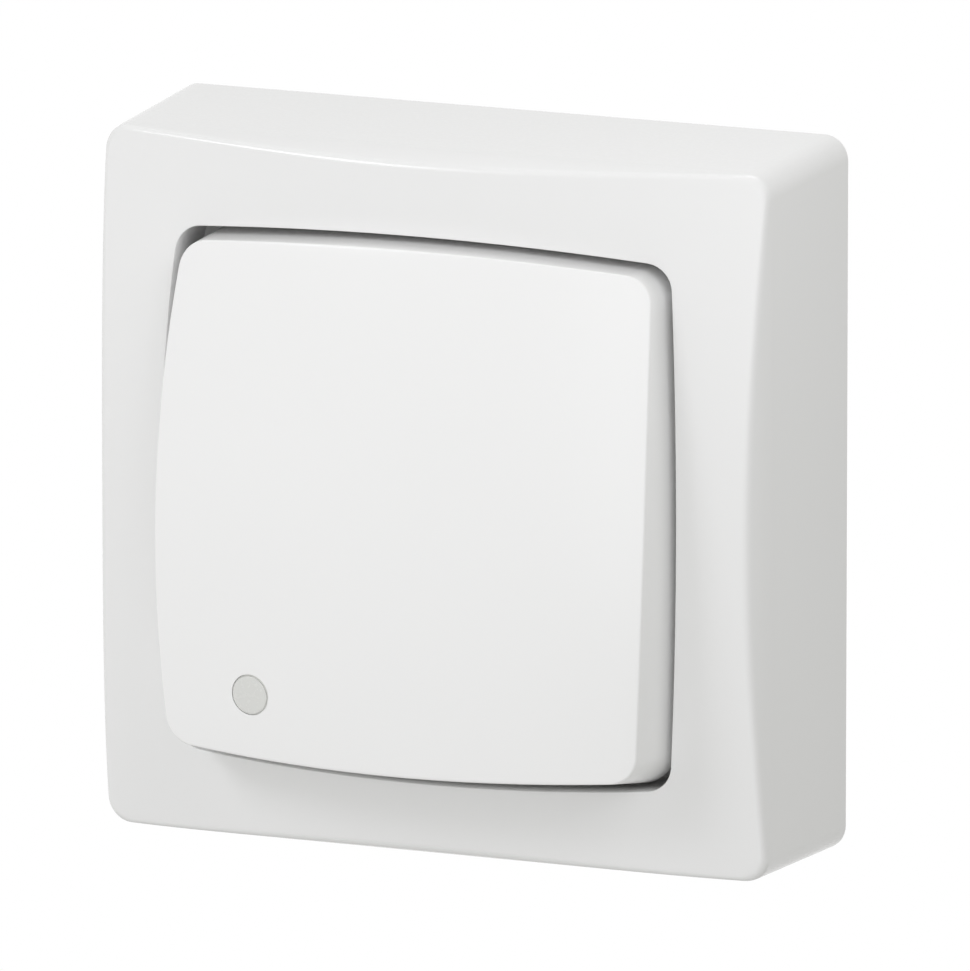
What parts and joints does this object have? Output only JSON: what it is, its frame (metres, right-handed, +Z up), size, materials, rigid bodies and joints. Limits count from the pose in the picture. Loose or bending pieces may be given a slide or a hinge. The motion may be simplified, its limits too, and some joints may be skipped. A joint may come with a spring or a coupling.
{
  "type": "pushbutton switch",
  "caption": "Square surface-mounted wall pushbutton: a domed surround on a wall base, a sprung rocking key with an indicator lens, and a single make contact with screw terminals inside.",
  "frame": {"origin": "centre of the back, on the wall plane", "axes": "+X to the right as the user sees it, +Z up the wall, +Y into the wall"},
  "size_m": [0.075, 0.033, 0.075],
  "materials": {
    "white_plastic": "white moulded plastic, satin gloss",
    "lens": "pale grey translucent plastic",
    "inner_plastic": "grey moulded insulating plastic",
    "base_plastic": "off-white moulded plastic, fine matt texture",
    "plunger_plastic": "red-brown moulded insulating plastic",
    "zinc_steel": "zinc-plated steel",
    "spring_steel": "drawn spring wire",
    "contact_brass": "stamped brass",
    "contact_silver": "silver contact rivet",
    "lamp_glass": "clear glass capsule"
  },
  "bodies": {
    "housing": {"frame": "white_plastic", "base": "base_plastic", "mechanism_body": "inner_plastic", "mechanism_cover": "inner_plastic", "mechanism_screws": "zinc_steel", "return_spring": "spring_steel", "fixed_contact_tips": "contact_silver", "line_contact": "contact_brass", "load_contact": "contact_brass", "line_terminal": "contact_brass", "load_terminal": "contact_brass", "terminal_screws": "zinc_steel", "lamp_holder": "inner_plastic", "indicator_lamp": "lamp_glass"},
    "rocker": {"key": "white_plastic", "indicator_lens": "lens", "rocker_cradle": "inner_plastic"},
    "plunger": {"plunger": "plunger_plastic", "contact_bridge": "contact_brass", "moving_contact_tips": "contact_silver", "contact_spring": "spring_steel"}
  },
  "joints": [
    {"name": "key_press", "type": "hinge", "parent": "housing", "child": "rocker", "pos_m": [0, -0.0215, 0], "axis": [1, 0, 0], "range_deg": [0, 7], "stiffness_Nm_per_rad": 0.3, "springref_deg": -5.73},
    {"name": "plunger_slide", "type": "slide", "parent": "housing", "child": "plunger", "axis": [0, 1, 0], "range_m": [0, 0.00172], "deforming": ["return_spring"]}
  ],
  "couplings": [
    {"joint": "plunger_slide", "follows": "key_press", "m_per_rad": 0.014}
  ]
}
